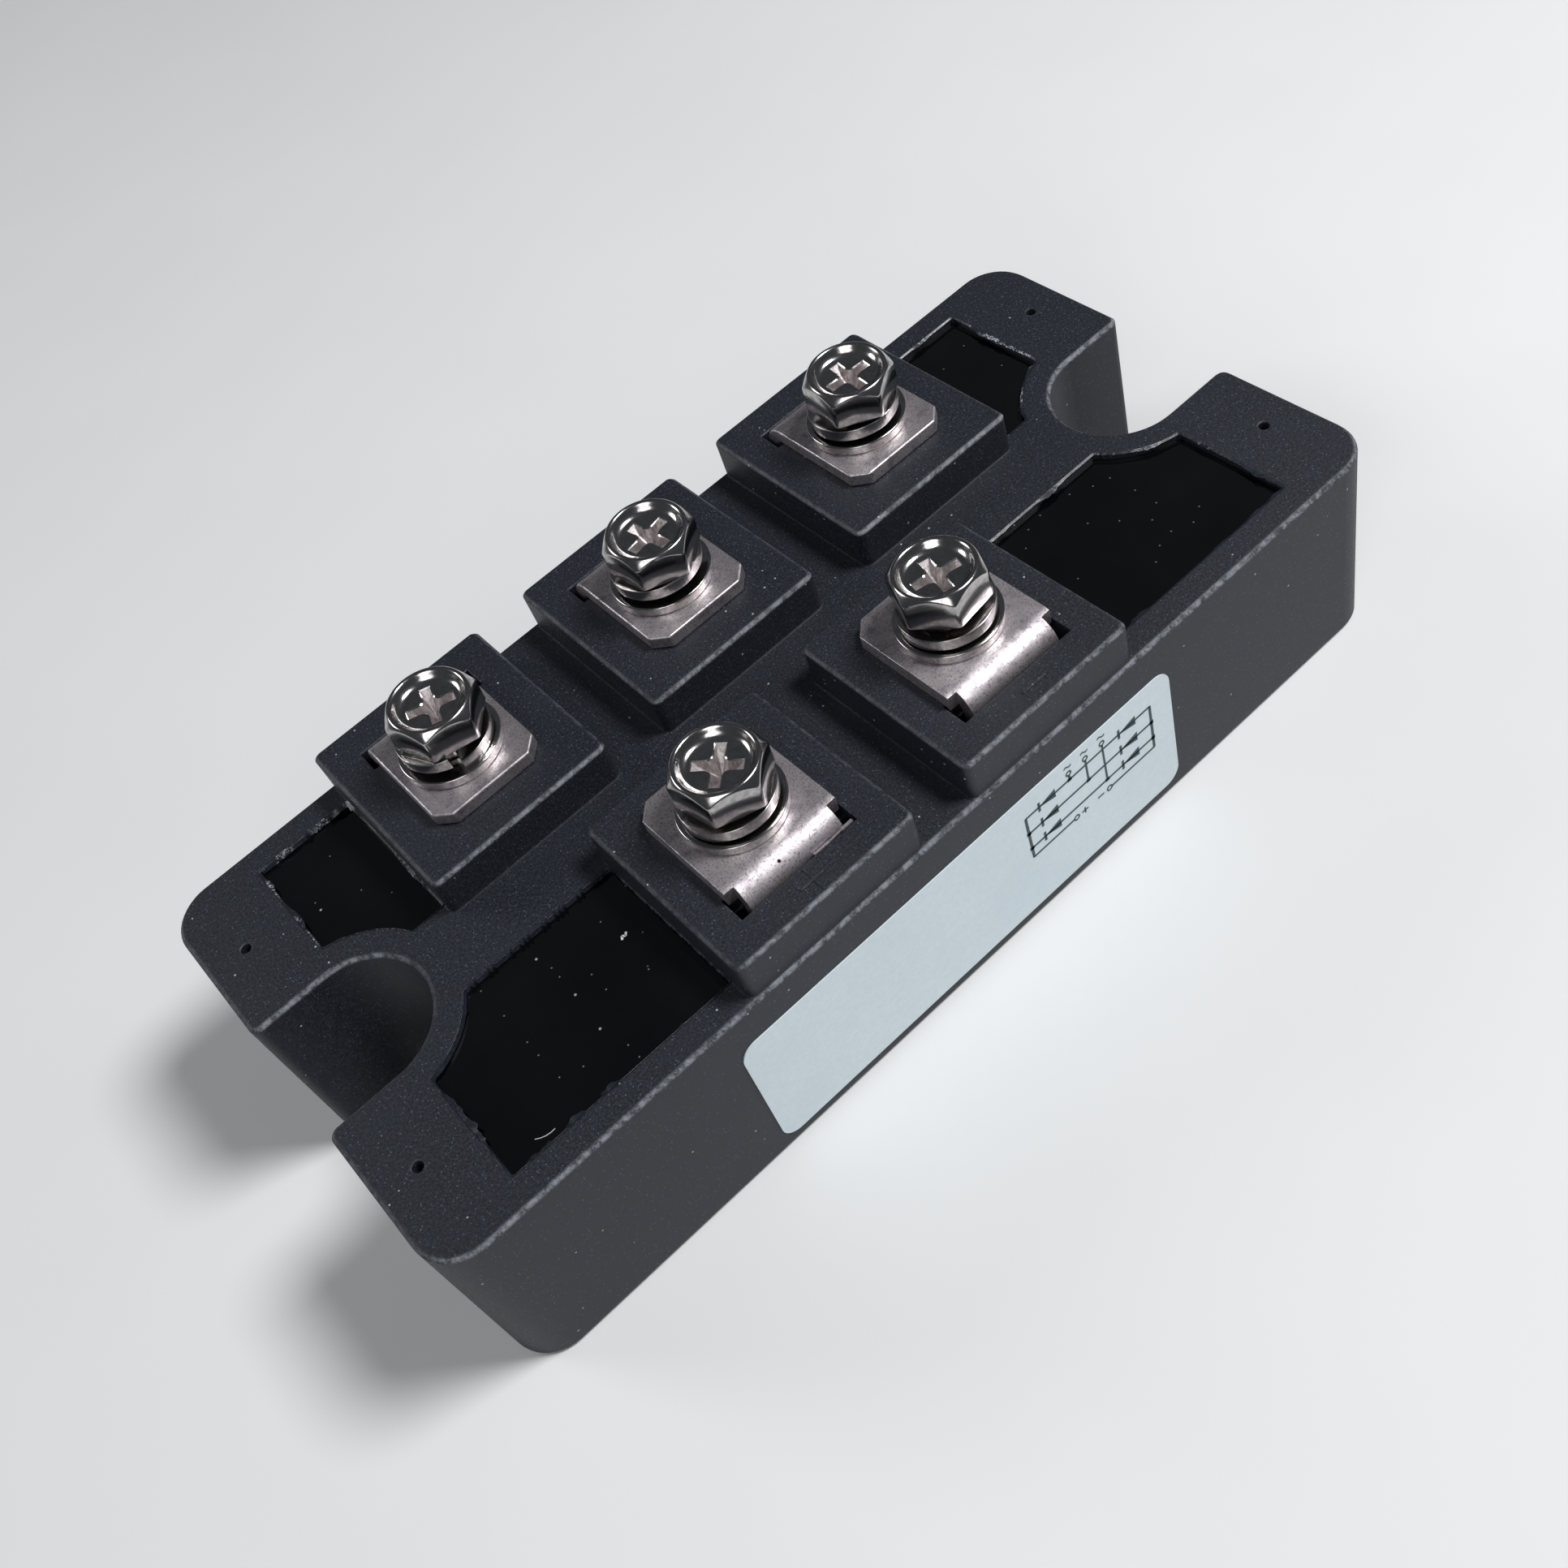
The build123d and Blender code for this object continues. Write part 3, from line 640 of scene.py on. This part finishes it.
printSettings = {       # the bridge circuit on the label: x and z in the label's plane
    "line": 0.22,
    "bus": 0.3,
    "thickness": 0.03,
    "rows": [14.95, 12.6, 10.35],
    "leftBus": 7.15,
    "rightBus": 23.15,
    "joint": (0.2, 0.44),       # half length and width of the dots where lines meet
    "diodes": [(8.86, 10.9), (19.1, 21.25)],    # bar, and base of the triangle
    "diodeBar": (0.6, 0.28),    # half length and width
    "diodeBase": 0.57,          # half its length
    "taps": [12.75, 14.85, 17.0],
    "tapHeight": 15.85,
    "tapRadius": 0.28,
    "ringWidth": 0.16,
    "tildeHeight": 16.8,
    "tilde": (0.45, 0.12, 0.16),    # half length, half height and width of the line
    "plusEnd": (12.75, 8.95),
    "minusEnd": (17.1, 8.9),
    "endRadius": 0.3,
    "plusSign": (13.85, 8.95),
    "minusSign": (15.95, 8.9),
    "sign": (0.38, 0.17),       # half length and width
}


def buildPrint(settings):
    bm = bmesh.new()
    line, ringWidth, endRadius = settings["line"], settings["ringWidth"], settings["endRadius"]
    left, right = settings["leftBus"], settings["rightBus"]
    top, middle, bottom = settings["rows"]
    jointReach, jointWidth = settings["joint"]
    barReach, barWidth = settings["diodeBar"]
    signReach, signWidth = settings["sign"]
    for x, low in ((left, settings["plusEnd"][1]), (right, settings["minusEnd"][1])):
        bar(bm, (x, low), (x, top), settings["bus"])
    for x, height in ((left, middle), (left, bottom), (right, middle), (right, bottom)):
        bar(bm, (x - jointReach, height), (x + jointReach, height), jointWidth)
    for height in settings["rows"]:
        bar(bm, (left, height), (right, height), line)
        for barX, baseX in settings["diodes"]:
            bar(bm, (barX, height - barReach), (barX, height + barReach), barWidth)
            low, high = height - settings["diodeBase"], height + settings["diodeBase"]
            corners = [(barX, height), (baseX, low), (baseX, high)]
            bm.faces.new([bm.verts.new((x * mm, z * mm, 0)) for x, z in corners])
    for x, low in zip(settings["taps"], settings["rows"]):
        bar(bm, (x, low), (x, settings["tapHeight"] - settings["tapRadius"]), line)
        ring(bm, (x, settings["tapHeight"]), settings["tapRadius"], ringWidth)
        wave(bm, (x, settings["tildeHeight"]), *settings["tilde"])
        bar(bm, (x - jointReach, low), (x + jointReach, low), jointWidth)
    for (x, z), bus, side in ((settings["plusEnd"], left, -1), (settings["minusEnd"], right, 1)):
        bar(bm, (bus, z), (x + side * endRadius, z), line)
        ring(bm, (x, z), endRadius, ringWidth)
    for name in ("plusSign", "minusSign"):
        x, z = settings[name]
        bar(bm, (x - signReach, z), (x + signReach, z), signWidth)
        if name == "plusSign":
            bar(bm, (x, z - signReach), (x, z + signReach), signWidth)
    thicken(bm, settings["thickness"])
    stand = Matrix.Translation((0, labelFace, 0)) @ Matrix.Rotation(math.pi / 2, 4, "X")
    bmesh.ops.transform(bm, matrix=stand, verts=bm.verts)
    finishPiece(bm, "label_print", "label", materials=[ink])
    print("label print made")


signSettings = {        # raised polarity signs on the two front blocks
    "plus": (-12.6, -22.9),
    "minus": (13.0, -22.9),
    "reach": 1.45,
    "width": 0.28,
    "armStart": 0.168,      # from the plus sign's middle to its upright arms, clear of the level bar
    "thickness": 0.07,
    "height": 26.6,         # top of the blocks
}


def buildSigns(settings):
    bm = bmesh.new()
    reach, width, start = settings["reach"], settings["width"], settings["armStart"]
    for name in ("plus", "minus"):
        x, y = settings[name]
        bar(bm, (x - reach, y), (x + reach, y), width)
        if name == "plus":
            bar(bm, (x, y + start), (x, y + reach), width)
            bar(bm, (x, y - start), (x, y - reach), width)
    thicken(bm, settings["thickness"], settings["height"])
    finishPiece(bm, "polarity_signs", "case")
    print("polarity signs made")


lintSettings = {        # what has settled on the near left window
    "height": 21.5,
    "thickness": 0.06,
    "flake": [(-26.3, -11.15), (-26.1, -10.85), (-25.85, -11.05), (-25.6, -10.8)],
    "flakeWidth": 0.2,
    "hair": [(-42.6, -20.45), (-42.2, -20.72), (-41.77, -20.9), (-41.3, -20.98), (-40.85, -20.96)],
    "hairWidth": 0.045,
}


def buildLint(settings):
    bm = bmesh.new()
    for name in ("flake", "hair"):
        points = settings[name]
        for start, end in zip(points, points[1:]):
            bar(bm, start, end, settings[name + "Width"])
    thicken(bm, settings["thickness"], settings["height"])
    finishPiece(bm, "window_lint", "epoxy", materials=[lint])
    print("lint made")


burrSettings = {        # a bright sliver left standing along the foot of the plus terminal's bend
    "points": [(-6.7, -21.1), (-7.9, -21.13), (-9.3, -21.22), (-11.0, -21.18)],
    "widths": [0.3, 0.18, 0.24],
    "height": 26.55,
    "thickness": 0.2,
}


def buildBurr(settings):
    bm = bmesh.new()
    points = settings["points"]
    for start, end, width in zip(points, points[1:], settings["widths"]):
        bar(bm, start, end, width)
    thicken(bm, settings["thickness"], settings["height"])
    finishPiece(bm, "bend_burr", "terminal")
    print("burr made")


buildStampings(edgeWidths)
buildScrews(headSettings, crossSettings)
buildFlash(flashSettings)
buildPrint(printSettings)
buildSigns(signSettings)
buildLint(lintSettings)
buildBurr(burrSettings)


# Floor, light and camera

stageSettings = {
    "floorReach": 1500,     # half its side
    "worldColour": "#aeb4bd",
    "worldStrength": 0.15,
    "aim": (0, 0, 20),
    "lamps": {          # place, size and power in watts
        "key from the front right": ((280, -180, 520), 200, 3.6),
        "fill from the front left": ((-450, -500, 500), 500, 1.9),
        "rim from the back left": ((-400, 500, 350), 300, 1.2),
    },
}


def softLight(name, place, aim, size, power):
    light = bpy.data.lights.new(name, "AREA")
    light.shape = "DISK"
    light.size = size * mm
    light.energy = power
    lamp = bpy.data.objects.new(name, light)
    lamp.location = Vector(place) * mm
    lamp.rotation_euler = (Vector(aim) - Vector(place)).to_track_quat("-Z", "Y").to_euler()
    bpy.context.scene.collection.objects.link(lamp)


def buildStage(settings):
    bm = bmesh.new()
    bmesh.ops.create_grid(bm, x_segments=2, y_segments=2, size=settings["floorReach"] * mm)
    mesh = bpy.data.meshes.new("floor")
    bm.to_mesh(mesh)
    bm.free()
    mesh.materials.append(
        plainPattern("plain pale floor", 30, "#d9dadb", "#dbdcdd", {"Roughness": 0.8}, detail=2.0))
    floor = bpy.data.objects.new("floor", mesh)
    bpy.context.scene.collection.objects.link(floor)
    world = bpy.data.worlds.new("studio")
    bpy.context.scene.world = world
    world.use_nodes = True
    background = world.node_tree.nodes["Background"]
    background.inputs["Color"].default_value = linearColour(settings["worldColour"])
    background.inputs["Strength"].default_value = settings["worldStrength"]
    for name, (place, size, power) in settings["lamps"].items():
        softLight(name, place, settings["aim"], size, power)
    bpy.context.scene.view_settings.view_transform = "Standard"


cameraSettings = {
    "place": (-42.48, -97.38, 138.35),
    "aim": (-6.52, -10.21, 22.0),
    "roll": -23.05,     # degrees, as the camera was held
    "focal": 38.92,
    "sensor": 36.0,
    "clipStart": 5,
}


def buildCamera(settings):
    data = bpy.data.cameras.new("camera")
    data.sensor_width = settings["sensor"]
    data.lens = settings["focal"]
    data.clip_start = settings["clipStart"] * mm
    camera = bpy.data.objects.new("camera", data)
    bpy.context.scene.collection.objects.link(camera)
    place = Vector(settings["place"]) * mm
    aim = Vector(settings["aim"]) * mm
    turn = (aim - place).to_track_quat("-Z", "Y") @ Quaternion((0, 0, 1), math.radians(settings["roll"]))
    camera.location = place
    camera.rotation_euler = turn.to_euler()
    bpy.context.scene.camera = camera


buildStage(stageSettings)
buildCamera(cameraSettings)
print("stage and camera made")
